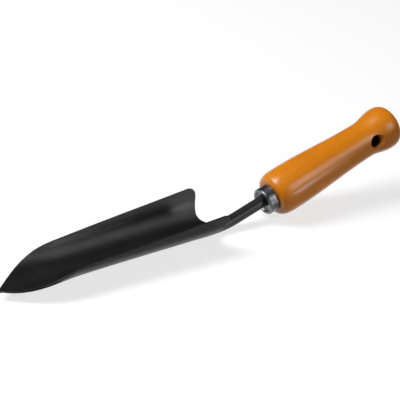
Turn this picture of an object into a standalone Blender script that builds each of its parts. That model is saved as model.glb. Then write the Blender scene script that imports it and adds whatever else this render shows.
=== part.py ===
"""Root weeder: a forged trough blade on a cranked round neck, a steel ferrule and a turned wooden handle.

Metres, +Z up. The blade's keel runs along +X from the point to the neck, its hollow side faces up, and the
handle rises behind it. The tool is set down so that the middle of its underside is at the origin.
"""
import bpy
import bmesh
from math import copysign, cos, pi, radians, sin, sqrt
from mathutils import Matrix, Vector

# Gap left between two pieces that touch, and the run by which a cutter passes the face that it opens
seat_gap = 0.0003
cutter_overrun = 0.004

# Blade: sizes of the flat blank, measured from its centre line, and of the trough that it is pressed to
blade_length = 0.1727
sheet_thickness = 0.0015
point_length = 0.0486
point_fullness = 1.022
blank_half_width_front = 0.02111
blank_half_width_rear = 0.03589
trough_radius_rear = 0.01816
trough_radius_front = 0.02369
side_start = radians(40.3)
side_radius = 0.0228
wall_flare = radians(16)
opening_out_start = 0.0561
opening_out_end = 0.0240
keel_bow = 0.00044
point_lift = 0.0016
point_lift_length = 0.0345
point_blunting = 0.00025

# Blade: the rear edge of each wing and its sweep down to the neck
wing_slant = 0.181
wing_corner_radius = 0.0078
neck_sweep_radius = 0.0115

# Neck: a round rod that fades into the blade's keel, is cranked upwards and ends in a tang
neck_diameter = 0.0088
neck_root_diameter = 0.0089
neck_drop = 0.0
spine_length = 0.045
spine_end_diameter = 0.0009
neck_straight_length = 0.0043
crank_angle = radians(17.97)
crank_radius = 0.0800
neck_rear_length = 0.0232
tang_diameter = 0.0064
tang_end_diameter = 0.0046
tang_length = 0.062
tang_point_length = 0.004

# Ferrule: a cap pressed from sheet, its rolled front edge standing out around a dished front plate
ferrule_diameter = 0.0205
ferrule_wall = 0.0012
ferrule_length = 0.0085
ferrule_lip_depth = 0.0024
ferrule_lip_radius = 0.0015
ferrule_recess = 0.0036

# Handle: stations along its axis are measured from the shoulder that meets the ferrule
handle_length = 0.1179
handle_drop = 0.00109
shoulder_length = 0.0144
shoulder_roundness = 3.2
bulge_diameter = 0.0340
bulge_end = 0.0145
waist_station = 0.0900
waist_diameter = 0.0279
flare_station = 0.1087
flare_diameter = 0.0336
butt_face_diameter = 0.0197
butt_roundness = 2.58

# Hanging hole across the handle, drilled a little above its axis and turned a little out of level
hole_diameter = 0.0093
hole_mouth_diameter = 0.0121
hole_mouth_depth = 0.0024
hole_to_butt = 0.0245
hole_rise = 0.0015
hole_turn = radians(11.5)

# Fineness of the meshes
blade_rows = 44
arc_steps = 6
edge_steps = 4
bend_steps = 9
round_sides = 48
rod_sides = 28


def clear_scene():
    """Remove every object of the open file."""
    for item in list(bpy.data.objects):
        bpy.data.objects.remove(item, do_unlink=True)


def make_material(name, colour, metallic, roughness):
    """One Principled material."""
    material = bpy.data.materials.new(name)
    material.use_nodes = True
    shader = material.node_tree.nodes["Principled BSDF"]
    shader.inputs["Base Color"].default_value = (*colour, 1.0)
    shader.inputs["Metallic"].default_value = metallic
    shader.inputs["Roughness"].default_value = roughness
    return material


def add_empty(name, parent):
    """A frame that pieces are placed in."""
    item = bpy.data.objects.new(name, None)
    bpy.context.collection.objects.link(item)
    item.parent = parent
    return item


def add_object(name, mesh_data, parent):
    """Turn a bmesh into an object in the scene, smooth where it is round."""
    mesh = bpy.data.meshes.new(name)
    mesh_data.to_mesh(mesh)
    mesh_data.free()
    mesh.shade_smooth()
    mesh.set_sharp_from_angle(angle=radians(35))
    item = bpy.data.objects.new(name, mesh)
    bpy.context.collection.objects.link(item)
    item.parent = parent
    return item


def add_boolean(item, tool, operation):
    """Join or cut with a hidden helper object."""
    tool.hide_render = True
    tool.display_type = "WIRE"
    modifier = item.modifiers.new(tool.name, "BOOLEAN")
    modifier.operation = operation
    modifier.solver = "EXACT"
    modifier.object = tool


def turned_body(profile):
    """A bmesh turned about +X from (station, radius) pairs; a ring's profile ends where it starts."""
    mesh_data = bmesh.new()
    corners = [mesh_data.verts.new((station, 0.0, radius)) for station, radius in profile]
    edges = [mesh_data.edges.new(pair) for pair in zip(corners, corners[1:])]
    bmesh.ops.spin(mesh_data, geom=corners + edges, axis=(1, 0, 0), angle=2 * pi, steps=round_sides)
    bmesh.ops.remove_doubles(mesh_data, verts=mesh_data.verts, dist=0.000001)
    bmesh.ops.recalc_face_normals(mesh_data, faces=mesh_data.faces)
    return mesh_data


def rise(share):
    """0 to 1 along half a wave, held level outside."""
    held = min(max(share, 0.0), 1.0)
    return 0.5 * (1 - cos(pi * held))


def blank_half_width(along):
    """Half the blank's width at a distance from the point."""
    toward = min(along / point_length, 1.0)
    rounded = (1 - (1 - toward) ** 2) ** point_fullness
    taper = (blank_half_width_rear - blank_half_width_front) * along / blade_length
    return rounded * (blank_half_width_front + taper)


def trough_radius(along):
    """Outer radius of the trough at a distance from the point."""
    opened = rise((opening_out_start - along) / (opening_out_start - opening_out_end))
    return trough_radius_rear + (trough_radius_front - trough_radius_rear) * opened


def rear_edge(across):
    """Where the blank ends, at a distance from its centre line: sweep, slanted edge and round corner."""
    sweep_start = neck_diameter / 2 + neck_sweep_radius
    if across <= sweep_start:
        run = min(sweep_start - across, neck_sweep_radius)
        return blade_length + neck_sweep_radius - sqrt(neck_sweep_radius ** 2 - run ** 2)
    slanted = blade_length + wing_slant * (across - sweep_start)
    into_corner = across - (blank_half_width_rear - wing_corner_radius)
    if into_corner <= 0:
        return slanted
    run = min(into_corner, wing_corner_radius)
    return slanted - wing_corner_radius + sqrt(wing_corner_radius ** 2 - run ** 2)


def column_shares():
    """Places across the blank as shares of its half width, close together where the rear edge is round."""
    sweep_start = neck_diameter / 2 + neck_sweep_radius
    corner_start = blank_half_width_rear - wing_corner_radius
    places = [0.0]
    for step in range(arc_steps + 1):
        places.append(sweep_start - neck_sweep_radius * cos(0.5 * pi * step / arc_steps))
    for step in range(1, edge_steps):
        places.append(sweep_start + (corner_start - sweep_start) * step / edge_steps)
    for step in range(arc_steps + 1):
        places.append(corner_start + wing_corner_radius * sin(0.5 * pi * step / arc_steps))
    shares = [place / blank_half_width_rear for place in places]
    return [-share for share in reversed(shares[1:])] + shares


def pressed(along, across):
    """Where a point of the flat blank comes to lie: on the bottom's arc, a side's arc or a side's flat rim."""
    radius = trough_radius(along)
    reach = abs(across)
    bottom = min(reach / radius, side_start)
    beyond = max(reach - radius * side_start, 0.0)
    angle = bottom + min(beyond / side_radius, 0.5 * pi - wall_flare - side_start)
    up_wall = beyond - side_radius * (angle - bottom)
    lift = point_lift * max(1 - along / point_lift_length, 0.0) ** 1.5
    bow = keel_bow * sin(pi * min(along / blade_length, 1.0)) ** 2
    side = radius * sin(bottom) + side_radius * (sin(angle) - sin(bottom)) + up_wall * cos(angle)
    height = radius * (1 - cos(bottom)) + side_radius * (cos(bottom) - cos(angle)) + up_wall * sin(angle)
    return Vector((along, copysign(side, across), height + lift + bow))


def make_trough(parent):
    """The blade's sheet: a grid cut to the blank's outline, pressed to a trough and thickened inwards."""
    shares = column_shares()
    columns = len(shares) - 1
    mesh_data = bmesh.new()
    bmesh.ops.create_grid(mesh_data, x_segments=blade_rows, y_segments=columns, size=1.0)
    for vertex in mesh_data.verts:
        row_share = (vertex.co.x + 1) / 2
        share = shares[round(columns * (vertex.co.y + 1) / 2)]
        end = rear_edge(abs(share) * blank_half_width_rear)
        along = point_blunting + (end - point_blunting) * row_share ** 1.5
        vertex.co = pressed(along, share * blank_half_width(min(along, blade_length)))
    trough = add_object("blade", mesh_data, parent)
    thickness = trough.modifiers.new("sheet", "SOLIDIFY")
    thickness.thickness = sheet_thickness
    thickness.offset = 1.0
    thickness.use_even_offset = True
    return trough


def on_neck(run):
    """Middle and upward angle of the neck at a run along it from the blade's rear edge."""
    into_bend = run - neck_straight_length
    if into_bend <= 0:
        return Vector((blade_length + run, 0.0, -neck_drop)), 0.0
    angle = min(into_bend / crank_radius, crank_angle)
    beyond = into_bend - crank_radius * angle
    onward = crank_radius * sin(angle) + beyond * cos(angle)
    upward = crank_radius * (1 - cos(angle)) + beyond * sin(angle)
    return Vector((blade_length + neck_straight_length + onward, 0.0, upward - neck_drop)), angle


def on_handle(station):
    """Middle of the handle's axis at a station from the ferrule's front rim, with the crank's angle."""
    rim_run = neck_straight_length + crank_radius * crank_angle + neck_rear_length
    middle, angle = on_neck(rim_run + station)
    return middle + handle_drop * Vector((sin(angle), 0.0, -cos(angle))), angle


def rod_rings():
    """Middle, upward angle and radius of each ring of the rod, from the spine's end to the tang's."""
    neck_radius = neck_diameter / 2
    root_radius = neck_root_diameter / 2
    end_radius = spine_end_diameter / 2
    rings = []
    for step in range(bend_steps + 1):
        grown = sin(0.5 * pi * step / bend_steps)
        start = blade_length - spine_length * (1 - step / bend_steps)
        middle = Vector((start, 0.0, sheet_thickness / 2 * (1 - grown) - neck_drop * grown))
        rings.append((middle, 0.0, end_radius + (root_radius - end_radius) * grown))
    for step in range(1, arc_steps):
        share = step / arc_steps
        radius = root_radius + (neck_radius - root_radius) * rise(share)
        rings.append((*on_neck(neck_straight_length * share), radius))
    for step in range(bend_steps + 1):
        run = neck_straight_length + crank_radius * crank_angle * step / bend_steps
        rings.append((*on_neck(run), neck_radius))
    tang_start = ferrule_recess - seat_gap
    tang_end = tang_start + tang_length
    rings.append((*on_neck(run + neck_rear_length + tang_start), neck_radius))
    rings.append((*on_handle(tang_start), tang_diameter / 2))
    rings.append((*on_handle(tang_end - tang_point_length), tang_diameter / 2))
    rings.append((*on_handle(tang_end), tang_end_diameter / 2))
    return rings


def ring_place(middle, angle, radius):
    """Matrix that takes a circle of radius 1 in the XY plane to a ring of the rod, flats above and below."""
    flats_level = Matrix.Rotation(pi / rod_sides, 4, "Z")
    turned = Matrix.Rotation(0.5 * pi - angle, 4, "Y")
    return Matrix.Translation(middle) @ turned @ Matrix.Diagonal((radius, radius, 1.0, 1.0)) @ flats_level


def make_rod(parent):
    """Spine, cranked neck and tang: a small disc extruded from ring to ring."""
    mesh_data = bmesh.new()
    place, *others = [ring_place(*ring) for ring in rod_rings()]
    bmesh.ops.create_circle(mesh_data, cap_ends=True, segments=rod_sides, radius=1.0, matrix=place)
    loop = list(mesh_data.edges)
    for following in others:
        extruded = bmesh.ops.extrude_edge_only(mesh_data, edges=loop)["geom"]
        corners = [item for item in extruded if isinstance(item, bmesh.types.BMVert)]
        bmesh.ops.transform(mesh_data, matrix=following @ place.inverted(), verts=corners)
        moved = set(corners)
        edges = [item for item in extruded if isinstance(item, bmesh.types.BMEdge)]
        loop = [edge for edge in edges if moved.issuperset(edge.verts)]
        place = following
    bmesh.ops.contextual_create(mesh_data, geom=loop)
    bmesh.ops.recalc_face_normals(mesh_data, faces=mesh_data.faces)
    return add_object("rod", mesh_data, parent)


def make_blade(parent):
    """Trough, neck and tang: one forging."""
    blade = make_trough(parent)
    add_boolean(blade, make_rod(parent), "UNION")
    blade.data.materials.append(make_material("black powder coat", (0.018, 0.018, 0.019), 0.0, 0.42))
    return blade


def make_handle_frame(parent):
    """Frame on the handle's axis: its origin is at the ferrule's front rim and +X points to the butt."""
    frame = add_empty("handle_frame", parent)
    frame.location = on_handle(0.0)[0]
    frame.rotation_euler = (0.0, -crank_angle, 0.0)
    return frame


def ferrule_profile():
    """The cap's section: room for the tenon, outer wall, rolled front edge and dished front plate."""
    outer = ferrule_diameter / 2
    inner = outer - ferrule_wall
    lip = outer - ferrule_lip_depth
    rear = ferrule_length - seat_gap
    nose = (ferrule_lip_depth - ferrule_lip_radius) / 2
    plate_back = ferrule_recess - seat_gap
    plate_front = plate_back - ferrule_wall
    profile = [(plate_back, 0.0), (plate_back, inner), (rear, inner), (rear, outer)]
    for step in range(arc_steps + 1):
        turn = 0.5 * pi * step / arc_steps
        profile.append((ferrule_lip_radius * (1 - sin(turn)), outer - ferrule_lip_radius * (1 - cos(turn))))
    for step in range(arc_steps + 1):
        turn = 0.5 * pi * step / arc_steps
        profile.append((nose * (1 - cos(turn)), lip + nose * (1 - sin(turn))))
    profile.append((plate_front, lip))
    profile.append((plate_front, 0.0))
    return profile


def make_neck_hole(frame):
    """Cutter for the hole in the cap's front plate, on the neck's axis."""
    radius = neck_diameter / 2 + seat_gap
    end = ferrule_recess + cutter_overrun
    profile = [(-cutter_overrun, 0.0), (-cutter_overrun, radius), (end, radius), (end, 0.0)]
    hole = add_object("neck_hole", turned_body(profile), frame)
    hole.location = (0.0, 0.0, handle_drop)
    return hole


def make_ferrule(frame):
    """The steel cap on the handle's tenon."""
    ferrule = add_object("ferrule", turned_body(ferrule_profile()), frame)
    add_boolean(ferrule, make_neck_hole(frame), "DIFFERENCE")
    ferrule.data.materials.append(make_material("dark steel", (0.10, 0.105, 0.115), 1.0, 0.32))
    return ferrule


def handle_radius(station):
    """Radius of the turned handle at a station from its shoulder."""
    bulge = bulge_diameter / 2
    waist = waist_diameter / 2
    flare = flare_diameter / 2
    if station <= shoulder_length:
        start = ferrule_diameter / 2
        left = (1 - station / shoulder_length) ** shoulder_roundness
        return start + (bulge - start) * (1 - left) ** (1 / shoulder_roundness)
    if station <= waist_station:
        return bulge + (waist - bulge) * rise((station - bulge_end) / (waist_station - bulge_end))
    if station <= flare_station:
        return waist + (flare - waist) * rise((station - waist_station) / (flare_station - waist_station))
    butt = butt_face_diameter / 2
    over = (station - flare_station) / (handle_length - flare_station)
    left = max(1 - over ** butt_roundness, 0.0)
    return butt + (flare - butt) * left ** (1 / butt_roundness)


def handle_profile():
    """The handle's outline from the tenon's end to the middle of the butt."""
    tenon = ferrule_diameter / 2 - ferrule_wall - seat_gap
    stations = [shoulder_length * (1 - cos(0.5 * pi * step / arc_steps)) for step in range(arc_steps + 1)]
    for step in range(1, bend_steps + 1):
        stations.append(shoulder_length + (waist_station - shoulder_length) * step / bend_steps)
    for step in range(1, arc_steps + 1):
        stations.append(waist_station + (flare_station - waist_station) * step / arc_steps)
    for step in range(1, bend_steps + 1):
        stations.append(flare_station + (handle_length - flare_station) * sin(0.5 * pi * step / bend_steps))
    profile = [(ferrule_recess, 0.0), (ferrule_recess, tenon), (ferrule_length, tenon)]
    profile += [(ferrule_length + station, handle_radius(station)) for station in stations]
    profile.append((ferrule_length + handle_length, 0.0))
    return profile


def make_tang_bore(frame):
    """Cutter for the blind hole that holds the tang."""
    radius = tang_diameter / 2 + seat_gap
    start = ferrule_recess - cutter_overrun
    end = ferrule_recess + tang_length + seat_gap
    profile = [(start, 0.0), (start, radius), (end, radius), (end, 0.0)]
    return add_object("tang_bore", turned_body(profile), frame)


def make_hanging_hole(frame):
    """Cutter for the cross hole, wider at both mouths."""
    station = handle_length - hole_to_butt
    wall = handle_radius(station)
    core = hole_diameter / 2
    mouth = hole_mouth_diameter / 2
    outside = wall + cutter_overrun
    widest = mouth + (mouth - core) / hole_mouth_depth * cutter_overrun
    throat = wall - hole_mouth_depth
    half = [(throat, core), (outside, widest), (outside, 0.0)]
    profile = [(-place, radius) for place, radius in reversed(half)] + half
    hole = add_object("hanging_hole", turned_body(profile), frame)
    hole.location = (ferrule_length + station, 0.0, hole_rise)
    hole.rotation_euler = (0.0, -hole_turn, -0.5 * pi)
    return hole


def make_handle(frame):
    """The turned and lacquered handle."""
    handle = add_object("handle", turned_body(handle_profile()), frame)
    add_boolean(handle, make_tang_bore(frame), "DIFFERENCE")
    add_boolean(handle, make_hanging_hole(frame), "DIFFERENCE")
    handle.data.materials.append(make_material("orange lacquered wood", (0.62, 0.20, 0.018), 0.0, 0.22))
    return handle


def set_down(tool, pieces):
    """Move the whole tool so that the middle of its underside is at the origin."""
    bpy.context.view_layer.update()
    view = bpy.context.evaluated_depsgraph_get()
    corners = []
    for piece in pieces:
        shown = piece.evaluated_get(view)
        mesh = shown.to_mesh()
        corners.extend(shown.matrix_world @ vertex.co for vertex in mesh.vertices)
        shown.to_mesh_clear()
    middle_x = (min(corner.x for corner in corners) + max(corner.x for corner in corners)) / 2
    lowest = min(corner.z for corner in corners)
    tool.location = (-middle_x, 0.0, -lowest)


def build_tool():
    """All three pieces under one empty."""
    clear_scene()
    tool = add_empty("tool", None)
    blade = make_blade(tool)
    frame = make_handle_frame(tool)
    set_down(tool, [blade, make_ferrule(frame), make_handle(frame)])


build_tool()
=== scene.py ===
"""Root weeder in a plain white studio: a forged trough blade, a steel ferrule and a turned handle."""
import bpy
from math import copysign, cos, pi, radians, sin, sqrt
from mathutils import Matrix, Vector


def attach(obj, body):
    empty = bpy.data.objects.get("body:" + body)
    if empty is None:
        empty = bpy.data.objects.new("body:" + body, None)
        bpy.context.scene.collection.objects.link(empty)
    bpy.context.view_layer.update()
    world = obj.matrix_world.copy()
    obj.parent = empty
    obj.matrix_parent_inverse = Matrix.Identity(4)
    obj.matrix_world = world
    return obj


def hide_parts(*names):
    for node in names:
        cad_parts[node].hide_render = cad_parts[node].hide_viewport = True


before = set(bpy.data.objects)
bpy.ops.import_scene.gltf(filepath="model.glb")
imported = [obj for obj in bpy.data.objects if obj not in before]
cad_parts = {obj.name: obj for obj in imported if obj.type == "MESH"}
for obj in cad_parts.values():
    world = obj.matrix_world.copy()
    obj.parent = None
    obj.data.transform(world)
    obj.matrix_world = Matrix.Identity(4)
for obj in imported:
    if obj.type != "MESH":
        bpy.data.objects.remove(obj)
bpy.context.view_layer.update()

# The camera: a long lens from above on the near side, in front of the blade, so that the tool fills the
# picture from the point at the left to the butt at the right.
camera_place = (-0.628924, -0.660666, 0.557957)
camera_turn = (radians(59.5375), radians(-7.8093), radians(-38.4932))
lens_length = 135.0
film_width = 36.0

bpy.ops.object.select_all(action="DESELECT")
bpy.ops.object.camera_add(location=camera_place, rotation=camera_turn)
camera = bpy.context.object
camera.name = "camera"
camera.data.lens = lens_length
camera.data.sensor_width = film_width
bpy.context.scene.camera = camera
bpy.context.scene.view_settings.view_transform = "Standard"

# The floor: one sheet of white studio paper. It is plain white to the camera and keeps the tool's soft
# shadow. What the steel and the lacquer mirror of it glows bright behind the tool and carries a painted
# shade in front of it.
floor_size = 8.0
paper_colour = (0.30, 0.30, 0.30, 1.0)
paper_glow = 0.72
# In mirrored rays the paper carries a painted shade in front of the tool: its level, the level outside it,
# and where the one fades into the other.
mirrored_in_painted_shade = 0.06
mirrored_far = 0.90
painted_shade_from = -0.028
painted_shade_to = -0.012

bpy.ops.object.select_all(action="DESELECT")
bpy.ops.mesh.primitive_plane_add(size=floor_size, location=(0.0, 0.0, 0.0))
floor = bpy.context.object
floor.name = "paper_floor"


def add_math(nodes, links, operation, first, second):
    """One step of arithmetic on two values, each a socket or a number."""
    step = nodes.new("ShaderNodeMath")
    step.operation = operation
    for socket, value in zip(step.inputs, (first, second)):
        if isinstance(value, float):
            socket.default_value = value
        else:
            links.new(value, socket)
    return step.outputs[0]


def make_white_paper():
    """Matt paper with its own glow: even for the camera; for mirrored rays a painted shade, dim in front of
    the tool and bright behind it.
    """
    paper = bpy.data.materials.new("white_paper")
    paper.use_nodes = True
    nodes = paper.node_tree.nodes
    links = paper.node_tree.links
    shader = nodes["Principled BSDF"]
    shader.inputs["Base Color"].default_value = paper_colour
    shader.inputs["Roughness"].default_value = 0.9
    shader.inputs["Specular IOR Level"].default_value = 0.0
    coordinates = nodes.new("ShaderNodeTexCoord")
    parts = nodes.new("ShaderNodeSeparateXYZ")
    links.new(coordinates.outputs["Object"], parts.inputs[0])
    # Painted shade for mirrored rays: the paper glows dim in front of the tool and bright behind it.
    behind = nodes.new("ShaderNodeMapRange")
    behind.interpolation_type = "SMOOTHSTEP"
    behind.inputs["From Min"].default_value = painted_shade_from
    behind.inputs["From Max"].default_value = painted_shade_to
    behind.inputs["To Min"].default_value = mirrored_in_painted_shade
    behind.inputs["To Max"].default_value = mirrored_far
    links.new(parts.outputs["Y"], behind.inputs["Value"])
    rays = nodes.new("ShaderNodeLightPath")
    mirrored = add_math(
        nodes, links, "MAXIMUM", rays.outputs["Is Glossy Ray"], rays.outputs["Is Transmission Ray"]
    )
    shaded_mirrored_glow = add_math(nodes, links, "MULTIPLY", mirrored, behind.outputs["Result"])
    seen_glow = add_math(nodes, links, "MULTIPLY", rays.outputs["Is Camera Ray"], paper_glow)
    glow = nodes.new("ShaderNodeEmission")
    both = nodes.new("ShaderNodeAddShader")
    links.new(add_math(nodes, links, "ADD", seen_glow, shaded_mirrored_glow), glow.inputs["Strength"])
    links.new(shader.outputs[0], both.inputs[0])
    links.new(glow.outputs[0], both.inputs[1])
    links.new(both.outputs[0], nodes["Material Output"].inputs["Surface"])
    return paper


floor.data.materials.append(make_white_paper())

# The lamps: a softbox on the left, one high up behind it, a tall one on the right that draws the band along
# the handle, a low one with a grid whose narrow beam reaches the inside of the blade, and the plain room.
room_level = 0.03
low_beam = radians(16)
room = bpy.data.worlds.new("plain_room")
bpy.context.scene.world = room
room.use_nodes = True
room.node_tree.nodes["Background"].inputs["Color"].default_value = (1.0, 1.0, 1.0, 1.0)
room.node_tree.nodes["Background"].inputs["Strength"].default_value = room_level


def add_softbox(name, place, aim, width, height, level):
    """A rectangular soft lamp that faces a point; its level is the brightness of its own face."""
    bpy.ops.object.select_all(action="DESELECT")
    facing = Vector(aim) - Vector(place)
    turn = facing.to_track_quat("-Z", "Y").to_euler()
    bpy.ops.object.light_add(type="AREA", location=place, rotation=turn)
    lamp = bpy.context.object
    lamp.name = name
    lamp.data.shape = "RECTANGLE"
    lamp.data.size = width
    lamp.data.size_y = height
    lamp.data.energy = level * width * height * pi
    return lamp


add_softbox("left_softbox", (-0.77, 0.46, 0.95), (0.03, 0.0, 0.03), 0.55, 0.55, 16.0)
add_softbox("high_softbox", (-0.36, 0.39, 1.21), (0.03, 0.0, 0.03), 0.5, 0.5, 8.0)
add_softbox("tall_softbox", (0.46, -0.86, 0.74), (0.06, 0.0, 0.03), 0.35, 0.50, 6.0)
low_softbox = add_softbox("low_softbox", (0.28, -0.62, 0.12), (-0.09, 0.0, 0.02), 0.30, 0.14, 0.22)
low_softbox.data.spread = low_beam

# The blade: one steel forging. A bar is drawn out to the round neck and the tang, its front end is rolled
# to a sheet and pressed to a half pipe, the keel keeps the end of the bar as a low spine, and all that
# shows is powder coated in satin black.
point_place = Vector((-0.174052, 0.0, 0.004422))
blade_length = 0.1727
sheet_thickness = 0.0015
point_length = 0.0486
point_fullness = 1.022
blank_half_width_front = 0.02111
blank_half_width_rear = 0.03589
trough_radius_rear = 0.01816
trough_radius_front = 0.02369
side_start = radians(40.3)
side_radius = 0.0228
wall_flare = radians(16)
opening_out_start = 0.0561
opening_out_end = 0.0240
keel_bow = 0.00044
point_lift = 0.0016
point_lift_length = 0.0345
point_blunting = 0.00025
wing_slant = 0.181
wing_corner_radius = 0.0078
neck_sweep_radius = 0.0115
neck_radius = 0.0044
neck_root_radius = 0.00445
neck_straight_length = 0.0043
spine_length = 0.045
spine_end_radius = 0.00045
crank_angle = radians(17.97)
crank_radius = 0.0800
neck_rear_length = 0.0232
handle_drop = 0.00109
seat_gap = 0.0003
ferrule_recess = 0.0036
tang_radius = 0.0032
tang_end_radius = 0.0023
tang_length = 0.062
tang_point_length = 0.004
bar_columns = 6
sweep_columns = 6
flat_columns = 5
corner_columns = 6


def rise(share):
    """0 to 1 along half a wave, held level outside."""
    held = min(max(share, 0.0), 1.0)
    return 0.5 * (1 - cos(pi * held))


def column_places():
    """Distances of the blank's columns from its centre line at its rear edge."""
    sweep_start = neck_radius + neck_sweep_radius
    corner_start = blank_half_width_rear - wing_corner_radius
    places = [neck_radius * step / bar_columns for step in range(bar_columns + 1)]
    for step in range(1, sweep_columns + 1):
        places.append(sweep_start - neck_sweep_radius * cos(0.5 * pi * step / sweep_columns))
    for step in range(1, flat_columns + 1):
        places.append(sweep_start + (corner_start - sweep_start) * step / flat_columns)
    for step in range(1, corner_columns + 1):
        places.append(corner_start + wing_corner_radius * sin(0.5 * pi * step / corner_columns))
    return places


def spread(first, last, steps):
    """Values in even steps from a first one up to a last one, which is left out."""
    return [first + (last - first) * step / steps for step in range(steps)]


def row_shares():
    """Shares of the blade's length at which the blank has a row: close at the point and along the spine."""
    point_share = 0.25
    spine_share = 0.68
    rim_share = 0.9965
    point_rows = 16
    middle_rows = 12
    spine_rows = 18
    closing_up = 1.7
    shares = [point_share * (step / point_rows) ** closing_up for step in range(point_rows)]
    shares += spread(point_share, spine_share, middle_rows)
    shares += spread(spine_share, rim_share, spine_rows)
    return shares + [rim_share, 1.0]


def rear_edge(across):
    """Where the blank ends, at a distance from its centre line: sweep, slanted edge and round corner."""
    sweep_start = neck_radius + neck_sweep_radius
    if across <= sweep_start:
        run = min(sweep_start - across, neck_sweep_radius)
        return blade_length + neck_sweep_radius - sqrt(neck_sweep_radius ** 2 - run ** 2)
    slanted = blade_length + wing_slant * (across - sweep_start)
    into_corner = across - (blank_half_width_rear - wing_corner_radius)
    if into_corner <= 0:
        return slanted
    run = min(into_corner, wing_corner_radius)
    return slanted - wing_corner_radius + sqrt(wing_corner_radius ** 2 - run ** 2)


def blank_half_width(along):
    """Half the blank's width at a distance from the point."""
    toward = min(along / point_length, 1.0)
    rounded = (1 - (1 - toward) ** 2) ** point_fullness
    taper = (blank_half_width_rear - blank_half_width_front) * along / blade_length
    return rounded * (blank_half_width_front + taper)


def pressed(along, across, depth):
    """A point of the section, bottom arc, side arc or flat rim, at a depth inwards from the outer face."""
    lift_curve = 1.5
    opened = rise((opening_out_start - along) / (opening_out_start - opening_out_end))
    radius = trough_radius_rear + (trough_radius_front - trough_radius_rear) * opened
    reach = abs(across)
    bottom = min(reach / radius, side_start)
    beyond = max(reach - radius * side_start, 0.0)
    angle = bottom + min(beyond / side_radius, 0.5 * pi - wall_flare - side_start)
    up_wall = beyond - side_radius * (angle - bottom)
    lift = point_lift * max(1 - along / point_lift_length, 0.0) ** lift_curve
    bow = keel_bow * sin(pi * min(along / blade_length, 1.0)) ** 2
    side = radius * sin(bottom) + side_radius * (sin(angle) - sin(bottom)) + up_wall * cos(angle)
    height = radius * (1 - cos(bottom)) + side_radius * (cos(bottom) - cos(angle)) + up_wall * sin(angle)
    side -= depth * sin(angle)
    height += depth * cos(angle)
    return Vector((along, copysign(side, across), height + lift + bow))


def on_neck(run):
    """Middle and upward angle of the neck at a run along it from the blade's rear edge."""
    into_bend = run - neck_straight_length
    if into_bend <= 0:
        return Vector((blade_length + run, 0.0, 0.0)), 0.0
    angle = min(into_bend / crank_radius, crank_angle)
    beyond = into_bend - crank_radius * angle
    onward = crank_radius * sin(angle) + beyond * cos(angle)
    upward = crank_radius * (1 - cos(angle)) + beyond * sin(angle)
    return Vector((blade_length + neck_straight_length + onward, 0.0, upward)), angle


def bar_at(along):
    """Height of the bar's middle and its radius inside the blade, and how far it has grown."""
    grown = sin(0.5 * pi * min(max(1 - (blade_length - along) / spine_length, 0.0), 1.0))
    if along > blade_length:
        middle = on_neck(along - blade_length)[0]
        narrowing = rise((along - blade_length) / neck_straight_length)
        return middle.z, neck_root_radius + (neck_radius - neck_root_radius) * narrowing, 1.0
    height = sheet_thickness / 2 * (1 - grown)
    return height, spine_end_radius + (neck_root_radius - spine_end_radius) * grown, grown


def ring_turn(column, side):
    """Angle from the bar's top or bottom at which a column lies on its ring."""
    top_reach = radians(66)
    bottom_reach = radians(90)
    reach = top_reach if side == 1 else bottom_reach
    return reach * column / bar_columns


def forged(share, column, side):
    """A point of the blade's sheet, with the bar's end standing out of it along the keel."""
    soft_corner = 0.0024
    rounding_from = 0.15
    rounding_over = 0.35
    fall_beside_bar = 5.0
    leaving_from = 0.006
    leaving_over = 0.0045
    end = rear_edge(places[abs(column)])
    along = point_blunting + (end - point_blunting) * share
    width_share = places[abs(column)] / blank_half_width_rear
    across = width_share * blank_half_width(min(along, blade_length)) * (1 if column >= 0 else -1)
    spot = pressed(along, across, sheet_thickness * side)
    bar_height, bar_radius, grown = bar_at(along)
    up = 1 if side == 1 else -1
    held = max(min(column, bar_columns), -bar_columns)
    on_bar = rise((grown - rounding_from) / rounding_over)
    if abs(column) <= bar_columns:
        spot.y += (bar_radius * sin(ring_turn(held, side)) - spot.y) * on_bar
    beside = abs(spot.y) - bar_radius
    bulge = sqrt(max(bar_radius ** 2 - spot.y ** 2, 0.0)) - fall_beside_bar * max(beside, 0.0)
    ring_height = bar_height + up * bulge
    sheet_over = up * (spot.z - ring_height)
    corner = max(soft_corner * grown - abs(sheet_over), 0.0)
    filled = corner ** 2 / (4 * soft_corner * grown) if corner > 0 else 0.0
    spot.z = ring_height + up * (max(sheet_over, 0.0) + filled)
    if abs(column) <= bar_columns:
        leaving = rise((along - blade_length - leaving_from) / leaving_over)
        spot.z += (ring_height - spot.z) * leaving
    return spot


def neck_rings():
    """Middle, upward angle and radius of each ring of the neck and the tang, behind the blade's sweep."""
    sharp = 0.00015
    past_bend = 0.006
    crank_end = neck_straight_length + crank_radius * crank_angle
    rim_run = crank_end + neck_rear_length
    drop = handle_drop * Vector((sin(crank_angle), 0.0, -cos(crank_angle)))
    tang_start = rim_run + ferrule_recess - seat_gap
    tang_end = tang_start + tang_length
    bend_rings = 12
    rings = []
    for step in range(1, bend_rings + 1):
        run = neck_sweep_radius + (crank_end - neck_sweep_radius) * step / bend_rings
        rings.append((*on_neck(run), neck_radius))
    for run in (crank_end + past_bend, rim_run, tang_start - sharp, tang_start):
        rings.append((*on_neck(run), neck_radius))
    for run, radius in (
        (tang_start, tang_radius),
        (tang_start + sharp, tang_radius),
        (tang_end - tang_point_length, tang_radius),
        (tang_end - sharp, tang_end_radius),
        (tang_end, tang_end_radius),
    ):
        middle, angle = on_neck(run)
        rings.append((middle + drop, angle, radius))
    return rings


def drawn(ring, column, side):
    """A point of one ring of the neck or the tang."""
    middle, angle, radius = ring
    turn = ring_turn(column, side)
    up = 1 if side == 1 else -1
    in_ring = Vector((0.0, radius * sin(turn), up * radius * cos(turn)))
    return middle + Matrix.Rotation(-angle, 3, "Y") @ in_ring


places = column_places()
shares = row_shares()
rings = neck_rings()
side_columns = len(places) - 1
last_row = len(shares) - 1

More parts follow.
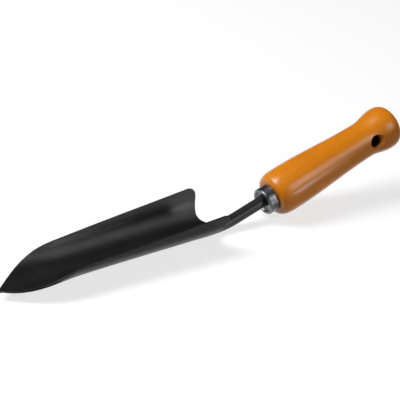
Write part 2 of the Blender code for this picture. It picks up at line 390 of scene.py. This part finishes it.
bpy.ops.object.select_all(action="DESELECT")
bpy.ops.mesh.primitive_grid_add(x_subdivisions=last_row, y_subdivisions=2 * side_columns, size=1.0)
blade = bpy.context.object
blade.name = "pressed_blade"
blade.scale = (last_row, 2 * side_columns, 1.0)
blade.location = (last_row / 2, 0.0, 0.0)
bpy.ops.object.transform_apply(location=True, rotation=True, scale=True)

bpy.ops.object.mode_set(mode="EDIT")
bpy.ops.mesh.select_mode(type="FACE")
bpy.ops.mesh.select_all(action="SELECT")
bpy.ops.mesh.extrude_region_move(TRANSFORM_OT_translate={"value": (0.0, 0.0, 1.0)})
bpy.ops.mesh.select_all(action="SELECT")
bpy.ops.mesh.normals_make_consistent(inside=False)
bpy.ops.mesh.select_all(action="DESELECT")
bpy.ops.object.mode_set(mode="OBJECT")
for face in blade.data.polygons:
    on_rear = face.normal.x > 0.9 and face.center.x > last_row - 0.1
    face.select = on_rear and abs(face.center.y) < bar_columns
bpy.ops.object.mode_set(mode="EDIT")
for _ in rings:
    bpy.ops.mesh.extrude_region_move(TRANSFORM_OT_translate={"value": (1.0, 0.0, 0.0)})
bpy.ops.object.mode_set(mode="OBJECT")

# The rims are marked for a lighter powder coat: partly rubbed wear, partly a painted highlight.
wear_and_highlight_at_rims = blade.data.attributes.new("wear_and_highlight_at_rims", "FLOAT", "POINT")
for vertex in blade.data.vertices:
    row = round(vertex.co.x)
    column = round(vertex.co.y)
    side = round(vertex.co.z)
    if row <= last_row:
        vertex.co = forged(shares[row], column, side) + point_place
        at_rear = row == last_row and abs(column) > bar_columns
        at_rim = at_rear or row == 0 or abs(column) == side_columns
        wear_and_highlight_at_rims.data[vertex.index].value = 1.0 if at_rim else 0.0
    else:
        vertex.co = drawn(rings[row - last_row - 1], column, side) + point_place

rounding = blade.modifiers.new("rounding", "SUBSURF")
rounding.levels = 2
rounding.render_levels = 2
bpy.ops.object.modifier_apply(modifier=rounding.name)
bpy.ops.object.shade_smooth()


def start_finish(name):
    """A material with its nodes, links and shader, and a link to coordinates in metres."""
    finish = bpy.data.materials.new(name)
    finish.use_nodes = True
    nodes = finish.node_tree.nodes
    links = finish.node_tree.links
    coordinates = nodes.new("ShaderNodeTexCoord")
    return finish, nodes, links, nodes["Principled BSDF"], coordinates.outputs["Object"]


def add_noise(nodes, links, where, scale, detail):
    """A noise pattern on given coordinates."""
    noise = nodes.new("ShaderNodeTexNoise")
    noise.inputs["Scale"].default_value = scale
    noise.inputs["Detail"].default_value = detail
    links.new(where, noise.inputs["Vector"])
    return noise.outputs["Fac"]


def add_range(nodes, links, value, low, high, to_low, to_high):
    """Stretch a value from one range to another, held at both ends."""
    stretch = nodes.new("ShaderNodeMapRange")
    stretch.inputs["From Min"].default_value = low
    stretch.inputs["From Max"].default_value = high
    stretch.inputs["To Min"].default_value = to_low
    stretch.inputs["To Max"].default_value = to_high
    links.new(value, stretch.inputs["Value"])
    return stretch.outputs["Result"]


def add_blend(nodes, links, share, first, second):
    """A colour between two others."""
    blend = nodes.new("ShaderNodeMix")
    blend.data_type = "RGBA"
    links.new(share, blend.inputs["Factor"])
    for socket, colour in ((blend.inputs["A"], first), (blend.inputs["B"], second)):
        if isinstance(colour, tuple):
            socket.default_value = colour
        else:
            links.new(colour, socket)
    return blend.outputs["Result"]


def add_bump(nodes, links, height, distance, under=None):
    """Raise the surface by a height pattern, in metres, over another bump."""
    bump = nodes.new("ShaderNodeBump")
    bump.inputs["Distance"].default_value = distance
    links.new(height, bump.inputs["Height"])
    if under is not None:
        links.new(under, bump.inputs["Normal"])
    return bump.outputs["Normal"]


def make_powder_coat():
    """Satin black powder coat: fine orange peel, a little dust, and lighter rims that are partly rubbed
    wear, partly painted highlight.
    """
    finish, nodes, links, shader, where = start_finish("black_powder_coat")
    deep_black = (0.0034, 0.0034, 0.0036, 1.0)
    soft_black = (0.0056, 0.0056, 0.0059, 1.0)
    dust = (0.020, 0.020, 0.019, 1.0)
    # Lighter grey on the rims: partly rubbed wear, partly a painted highlight.
    edge_wear_and_highlight = (0.024, 0.024, 0.025, 1.0)
    clouds = add_noise(nodes, links, where, 45.0, 4.0)
    peel = add_noise(nodes, links, where, 900.0, 2.0)
    specks = add_noise(nodes, links, where, 1700.0, 1.0)
    rub = add_noise(nodes, links, where, 260.0, 3.0)
    highlit_and_worn_rims = nodes.new("ShaderNodeAttribute")
    highlit_and_worn_rims.attribute_name = "wear_and_highlight_at_rims"
    patchy = add_range(nodes, links, rub, 0.45, 0.70, 0.0, 0.5)
    wear_and_highlight_mask = add_math(nodes, links, "MULTIPLY", highlit_and_worn_rims.outputs["Fac"], patchy)
    dusty = add_range(nodes, links, specks, 0.66, 0.74, 0.0, 0.35)
    tone = add_range(nodes, links, clouds, 0.3, 0.7, 0.0, 1.0)
    coat = add_blend(nodes, links, tone, deep_black, soft_black)
    dusted = add_blend(nodes, links, dusty, coat, dust)
    coat_with_worn_highlit_rims = add_blend(nodes, links, wear_and_highlight_mask, dusted, edge_wear_and_highlight)
    links.new(coat_with_worn_highlit_rims, shader.inputs["Base Color"])
    links.new(add_range(nodes, links, clouds, 0.3, 0.7, 0.40, 0.46), shader.inputs["Roughness"])
    shader.inputs["Specular IOR Level"].default_value = 0.5
    wavy = add_bump(nodes, links, clouds, 0.0003)
    links.new(add_bump(nodes, links, peel, 0.00003, wavy), shader.inputs["Normal"])
    return finish


blade.data.materials.append(make_powder_coat())
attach(blade, "root")
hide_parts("blade")

# The ferrule: a cap drawn from dark burnished steel sheet and pressed on the handle's tenon. Its front edge
# is rounded over, and its front is dished around the hole that the neck goes through.
rim_centre = Vector((0.0500339, 0.0, 0.0144454))
ferrule_radius = 0.01025
ferrule_wall = 0.0012
ferrule_length = 0.0085
ferrule_edge_radius = 0.0015
ferrule_plate_front = 0.0021
ferrule_steps = 128
cutter_steps = 64
ferrule_sharp_angle = radians(40)


def arc(middle, radius, first, last, steps):
    """Points of an arc in a profile, as station and radius, at angles from the station's direction."""
    points = []
    for step in range(steps + 1):
        turn = radians(first + (last - first) * step / steps)
        points.append((middle[0] + radius * cos(turn), middle[1] + radius * sin(turn)))
    return points


def turn_piece(name, profile, steps):
    """Draw a profile point by point beside the handle's axis and spin it once around."""
    first_patch = 0.0001
    merge_distance = 0.000001
    bpy.ops.object.select_all(action="DESELECT")
    bpy.ops.mesh.primitive_plane_add(size=first_patch, location=(0.0, 0.0, 0.0))
    piece = bpy.context.object
    piece.name = name
    bpy.ops.object.mode_set(mode="EDIT")
    bpy.ops.mesh.select_mode(type="VERT")
    bpy.ops.mesh.select_all(action="SELECT")
    bpy.ops.mesh.merge(type="CENTER")
    start = Vector((profile[0][0], 0.0, profile[0][1]))
    bpy.ops.transform.translate(value=start)
    for before, after in zip(profile, profile[1:]):
        step = (after[0] - before[0], 0.0, after[1] - before[1])
        bpy.ops.mesh.extrude_region_move(TRANSFORM_OT_translate={"value": step})
    bpy.ops.mesh.select_all(action="SELECT")
    bpy.ops.mesh.spin(steps=steps, angle=2 * pi, center=(0.0, 0.0, 0.0), axis=(1.0, 0.0, 0.0))
    bpy.ops.mesh.select_all(action="SELECT")
    bpy.ops.mesh.remove_doubles(threshold=merge_distance)
    bpy.ops.mesh.normals_make_consistent(inside=False)
    bpy.ops.object.mode_set(mode="OBJECT")
    return piece


def set_on_axis(piece):
    """Turn a piece from the X axis to the handle's axis and put it at the ferrule's rim."""
    bpy.ops.object.select_all(action="DESELECT")
    piece.select_set(True)
    bpy.context.view_layer.objects.active = piece
    piece.rotation_euler = (0.0, -crank_angle, 0.0)
    piece.location = rim_centre
    bpy.ops.object.transform_apply(location=True, rotation=True, scale=True)


def ferrule_profile():
    """The cap's section: outer wall, rounded front edge, dished front, hole, and the inside."""
    outer = ferrule_radius
    inner = outer - ferrule_wall
    rear = ferrule_length - seat_gap
    edge = ferrule_edge_radius
    lip = 0.0006
    dish = 0.0009
    dish_reach = 0.0068
    inside_corner = 0.0003
    rear_bevel = 0.0002
    beside_bevel = 0.002
    plate_back = ferrule_recess - seat_gap
    profile = [(plate_back, 0.0), (plate_back, inner - inside_corner)]
    profile += [(plate_back + inside_corner, inner), (rear, inner), (rear, outer - rear_bevel)]
    profile += [(rear - rear_bevel, outer), (rear - beside_bevel, outer)]
    profile += arc((edge, outer - edge), edge, 90, 180, 12)
    profile += arc((lip, outer - edge), lip, 180, 250, 6)[1:]
    profile += arc((ferrule_plate_front - dish, dish_reach), dish, 55, 0, 5)
    profile.append((ferrule_plate_front, 0.0))
    return profile


def neck_hole_profile():
    """Outline of the punch for the hole in the plate, wider where the plate's front edge is broken."""
    hole = neck_radius + seat_gap
    broken = 0.0003
    overshoot = 0.001
    mouth = (ferrule_plate_front - overshoot, hole + broken + overshoot)
    behind = ferrule_recess + overshoot
    return [(mouth[0], 0.0), mouth, (ferrule_plate_front + broken, hole), (behind, hole), (behind, 0.0)]


def cut_away(piece, cutter):
    """Take a cutter's shape out of a piece, close the slivers along the seam and throw the cutter away."""
    sliver_width = 0.000001
    bpy.context.view_layer.update()
    cutting = piece.modifiers.new("cutting", "BOOLEAN")
    cutting.operation = "DIFFERENCE"
    cutting.solver = "EXACT"
    cutting.object = cutter
    bpy.ops.object.select_all(action="DESELECT")
    piece.select_set(True)
    bpy.context.view_layer.objects.active = piece
    bpy.ops.object.modifier_apply(modifier=cutting.name)
    bpy.ops.object.mode_set(mode="EDIT")
    bpy.ops.mesh.select_all(action="SELECT")
    bpy.ops.mesh.remove_doubles(threshold=sliver_width)
    bpy.ops.object.mode_set(mode="OBJECT")
    bpy.data.objects.remove(cutter)


ferrule = turn_piece("dark_ferrule", ferrule_profile(), ferrule_steps)
punch = turn_piece("neck_hole_punch", neck_hole_profile(), cutter_steps)
punch.location = (0.0, 0.0, handle_drop)
cut_away(ferrule, punch)
set_on_axis(ferrule)
bpy.ops.object.shade_smooth_by_angle(angle=ferrule_sharp_angle)


def along_axis(nodes, links, where, stretch):
    """Coordinates whose X runs along the handle's axis from the ferrule's rim, times three factors."""
    to_rim = nodes.new("ShaderNodeVectorMath")
    to_rim.operation = "SUBTRACT"
    to_rim.inputs[1].default_value = rim_centre
    turned = nodes.new("ShaderNodeMapping")
    turned.inputs["Rotation"].default_value = (0.0, crank_angle, 0.0)
    stretched = nodes.new("ShaderNodeVectorMath")
    stretched.operation = "MULTIPLY"
    stretched.inputs[1].default_value = stretch
    links.new(where, to_rim.inputs[0])
    links.new(to_rim.outputs[0], turned.inputs["Vector"])
    links.new(turned.outputs[0], stretched.inputs[0])
    return stretched.outputs[0]


def make_dark_steel():
    """Dark burnished steel: turning marks around the collar and a blue cast where it was heated."""
    finish, nodes, links, shader, where = start_finish("dark_steel")
    grey_steel = (0.205, 0.206, 0.198, 1.0)
    blued_steel = (0.120, 0.130, 0.155, 1.0)
    rings_around = along_axis(nodes, links, where, (9.0, 0.4, 0.4))
    marks = add_noise(nodes, links, rings_around, 900.0, 2.0)
    clouds = add_noise(nodes, links, where, 170.0, 3.0)
    smears = add_noise(nodes, links, where, 420.0, 2.0)
    tone = add_range(nodes, links, clouds, 0.4, 0.62, 0.0, 1.0)
    links.new(add_blend(nodes, links, tone, grey_steel, blued_steel), shader.inputs["Base Color"])
    shader.inputs["Metallic"].default_value = 1.0
    links.new(add_range(nodes, links, smears, 0.3, 0.7, 0.34, 0.44), shader.inputs["Roughness"])
    links.new(add_bump(nodes, links, marks, 0.000004), shader.inputs["Normal"])
    return finish


ferrule.data.materials.append(make_dark_steel())
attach(ferrule, "root")
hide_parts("ferrule")

# The handle: one piece of close-grained hardwood turned in a lathe, with a tenon for the ferrule, a blind
# bore for the tang and a countersunk cross hole for hanging it up, under an orange-brown lacquer.
handle_length = 0.11786
shoulder_length = 0.0144
shoulder_roundness = 3.2
bulge_radius = 0.0170
bulge_end = 0.0145
waist_station = 0.0900
waist_radius = 0.01395
flare_station = 0.1087
flare_radius = 0.01679
butt_face_radius = 0.00985
butt_roundness = 2.58
hole_radius = 0.00465
hole_mouth_radius = 0.00605
hole_mouth_depth = 0.0024
hole_to_butt = 0.02446
hole_rise = 0.0015
hole_turn = radians(11.5)
handle_steps = 160
handle_sharp_angle = radians(32)


def handle_radius(station):
    """Radius of the turned handle at a station from its shoulder."""
    if station <= shoulder_length:
        left = (1 - station / shoulder_length) ** shoulder_roundness
        return ferrule_radius + (bulge_radius - ferrule_radius) * (1 - left) ** (1 / shoulder_roundness)
    if station <= waist_station:
        share = rise((station - bulge_end) / (waist_station - bulge_end))
        return bulge_radius + (waist_radius - bulge_radius) * share
    if station <= flare_station:
        share = rise((station - waist_station) / (flare_station - waist_station))
        return waist_radius + (flare_radius - waist_radius) * share
    over = (station - flare_station) / (handle_length - flare_station)
    left = max(1 - over ** butt_roundness, 0.0)
    return butt_face_radius + (flare_radius - butt_face_radius) * left ** (1 / butt_roundness)


def handle_profile():
    """The handle's outline: bore, tenon, shoulder, grip, waist, flare and rounded butt."""
    tenon = ferrule_radius - ferrule_wall - seat_gap
    bore = tang_radius + seat_gap
    bore_end = ferrule_recess + tang_length + seat_gap
    shoulder_rings = 14
    grip_rings = 40
    flare_rings = 18
    butt_rings = 22
    shoulder_turns = [0.5 * pi * step / shoulder_rings for step in range(shoulder_rings)]
    butt_turns = [0.5 * pi * step / butt_rings for step in range(butt_rings + 1)]
    stations = [shoulder_length * (1 - cos(turn)) for turn in shoulder_turns]
    stations += spread(shoulder_length, waist_station, grip_rings)
    stations += spread(waist_station, flare_station, flare_rings)
    stations += [flare_station + (handle_length - flare_station) * sin(turn) for turn in butt_turns]
    profile = [(bore_end, 0.0), (bore_end, bore), (ferrule_recess, bore), (ferrule_recess, tenon)]
    profile.append((ferrule_length, tenon))
    profile += [(ferrule_length + station, handle_radius(station)) for station in stations]
    profile += [(ferrule_length + handle_length, butt_face_radius * share) for share in (0.6, 0.2, 0.0)]
    return profile


def hole_profile():
    """Half of the drill's outline, from the middle of the handle outwards, with a flared mouth."""
    wall = handle_radius(handle_length - hole_to_butt)
    throat = wall - hole_mouth_depth
    softened = 0.0004
    throat_opening = 0.0003
    lip_depth = 0.0006
    lip_outside = 0.0002
    lip_opening = 0.0003
    flare_out = 0.0045
    slope = (hole_mouth_radius - hole_radius) / hole_mouth_depth
    return [
        (0.0, hole_radius),
        (throat - softened, hole_radius),
        (throat + softened, hole_radius + throat_opening * slope),
        (wall - lip_depth, hole_radius + slope * (hole_mouth_depth - lip_depth)),
        (wall + lip_outside, hole_mouth_radius + lip_opening),
        (wall + flare_out, hole_mouth_radius + flare_out),
        (wall + flare_out, 0.0),
    ]


handle = turn_piece("turned_handle", handle_profile(), handle_steps)
drill_half = hole_profile()
drill_whole = [(-place, radius) for place, radius in reversed(drill_half)] + drill_half[1:]
hole_station = ferrule_length + handle_length - hole_to_butt
drill = turn_piece("hole_drill", drill_whole, cutter_steps)
drill.rotation_euler = (0.0, -hole_turn, -0.5 * pi)
drill.location = (hole_station, 0.0, hole_rise)
cut_away(handle, drill)
set_on_axis(handle)
bpy.ops.object.shade_smooth_by_angle(angle=handle_sharp_angle)


def make_lacquered_wood():
    """Hardwood under orange-brown lacquer: fibres, faint figure, dark flecks, and painted shade darkening
    the cross hole.
    """
    finish, nodes, links, shader, where = start_finish("orange_lacquered_wood")
    light_wood = (0.68, 0.218, 0.0045, 1.0)
    deep_wood = (0.60, 0.178, 0.0040, 1.0)
    fibre_brown = (0.40, 0.100, 0.003, 1.0)
    fleck_brown = (0.20, 0.045, 0.003, 1.0)
    stain_brown = (0.46, 0.125, 0.003, 1.0)
    # Near-black brown for the painted shade inside the cross hole.
    hole_painted_shade = (0.030, 0.007, 0.002, 1.0)
    figure = add_noise(nodes, links, along_axis(nodes, links, where, (0.10, 1.0, 1.0)), 110.0, 3.0)
    fibres = add_noise(nodes, links, along_axis(nodes, links, where, (0.03, 1.0, 1.0)), 1300.0, 3.0)
    flecks = add_noise(nodes, links, along_axis(nodes, links, where, (0.12, 1.0, 1.0)), 1500.0, 1.0)
    clouds = add_noise(nodes, links, where, 38.0, 3.0)
    figured = add_range(nodes, links, figure, 0.3, 0.7, 0.0, 1.0)
    warm = add_blend(nodes, links, figured, light_wood, deep_wood)
    lines = add_range(nodes, links, fibres, 0.45, 0.75, 0.0, 0.18)
    lined = add_blend(nodes, links, lines, warm, fibre_brown)
    pits = add_range(nodes, links, flecks, 0.68, 0.75, 0.0, 0.5)
    flecked = add_blend(nodes, links, pits, lined, fleck_brown)
    stains = add_range(nodes, links, clouds, 0.4, 0.7, 0.0, 0.25)
    stained = add_blend(nodes, links, stains, flecked, stain_brown)
    # Painted shade: the walls of the cross hole are darkened nearly to black.
    from_middle = nodes.new("ShaderNodeVectorMath")
    from_middle.operation = "DISTANCE"
    from_middle.inputs[1].default_value = (hole_station, 0.0, 0.0)
    links.new(along_axis(nodes, links, where, (1.0, 1.0, 1.0)), from_middle.inputs[0])
    painted_hole_shade_mask = add_range(nodes, links, from_middle.outputs["Value"], 0.0112, 0.0134, 1.0, 0.0)
    links.new(add_blend(nodes, links, painted_hole_shade_mask, stained, hole_painted_shade), shader.inputs["Base Color"])
    links.new(add_range(nodes, links, fibres, 0.3, 0.7, 0.34, 0.46), shader.inputs["Roughness"])
    shader.inputs["Specular IOR Level"].default_value = 0.0
    shader.inputs["Coat IOR"].default_value = 1.5
    shader.inputs["Coat Weight"].default_value = 1.0
    shader.inputs["Coat Roughness"].default_value = 0.32
    links.new(add_bump(nodes, links, fibres, 0.00002), shader.inputs["Normal"])
    links.new(add_bump(nodes, links, clouds, 0.0002), shader.inputs["Coat Normal"])
    return finish


handle.data.materials.append(make_lacquered_wood())
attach(handle, "root")
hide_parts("handle")
